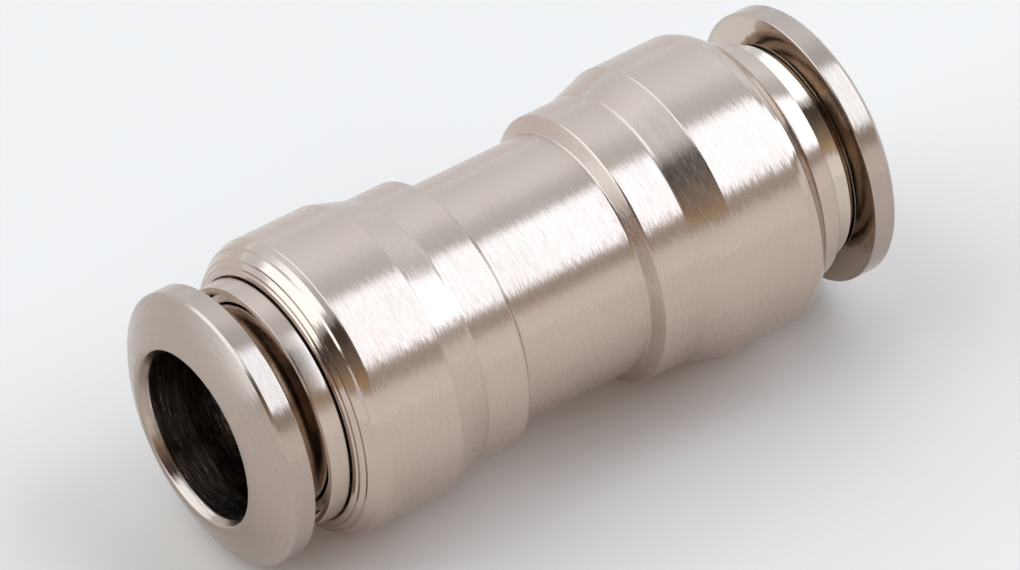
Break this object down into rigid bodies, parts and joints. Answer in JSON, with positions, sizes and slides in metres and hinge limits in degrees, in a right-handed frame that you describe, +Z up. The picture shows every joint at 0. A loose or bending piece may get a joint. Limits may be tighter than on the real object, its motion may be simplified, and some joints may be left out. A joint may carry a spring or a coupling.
{
  "type": "push to connect fitting",
  "caption": "All-metal straight union that joins two plastic air tubes: turned nickel-plated body, toothed grip rings inside and a flanged release button at each end.",
  "frame": {"origin": "on the axis of the fitting, at the middle of its length", "axes": "+X along the fitting's axis towards the right tube port; +Z up; Y across"},
  "size_m": [0.035, 0.0144, 0.0144],
  "materials": {
    "body": "satin nickel plate on turned brass",
    "guide_collar": "satin nickel plate on turned brass",
    "collet": "satin nickel plate on turned brass",
    "release_button": "satin nickel plate on turned brass",
    "grip_ring": "bright stainless spring steel",
    "grip_seat": "plain turned brass",
    "backup_washer": "plain turned brass",
    "seal_ring": "black nitrile rubber"
  },
  "bodies": {
    "housing": {"body": "body", "left_guide_collar": "guide_collar", "left_grip_seat": "grip_seat", "left_backup_washer": "backup_washer", "left_seal_ring": "seal_ring", "right_guide_collar": "guide_collar", "right_grip_seat": "grip_seat", "right_backup_washer": "backup_washer", "right_seal_ring": "seal_ring"},
    "left_collet": {"left_collet": "collet", "left_grip_ring": "grip_ring"},
    "left_button": {"left_release_button": "release_button"},
    "right_collet": {"right_collet": "collet", "right_grip_ring": "grip_ring"},
    "right_button": {"right_release_button": "release_button"}
  },
  "joints": [
    {"name": "left_collet_turn", "type": "hinge", "parent": "housing", "child": "left_collet", "pos_m": [-0.0125, 0, 0], "axis": [-1, 0, 0], "continuous": true},
    {"name": "left_button_push", "type": "slide", "parent": "left_collet", "child": "left_button", "axis": [1, 0, 0], "range_m": [0, 0.0006], "stiffness_N_per_m": 400},
    {"name": "right_collet_turn", "type": "hinge", "parent": "housing", "child": "right_collet", "pos_m": [0.0125, 0, 0], "axis": [1, 0, 0], "continuous": true},
    {"name": "right_button_push", "type": "slide", "parent": "right_collet", "child": "right_button", "axis": [-1, 0, 0], "range_m": [0, 0.0006], "stiffness_N_per_m": 400}
  ]
}
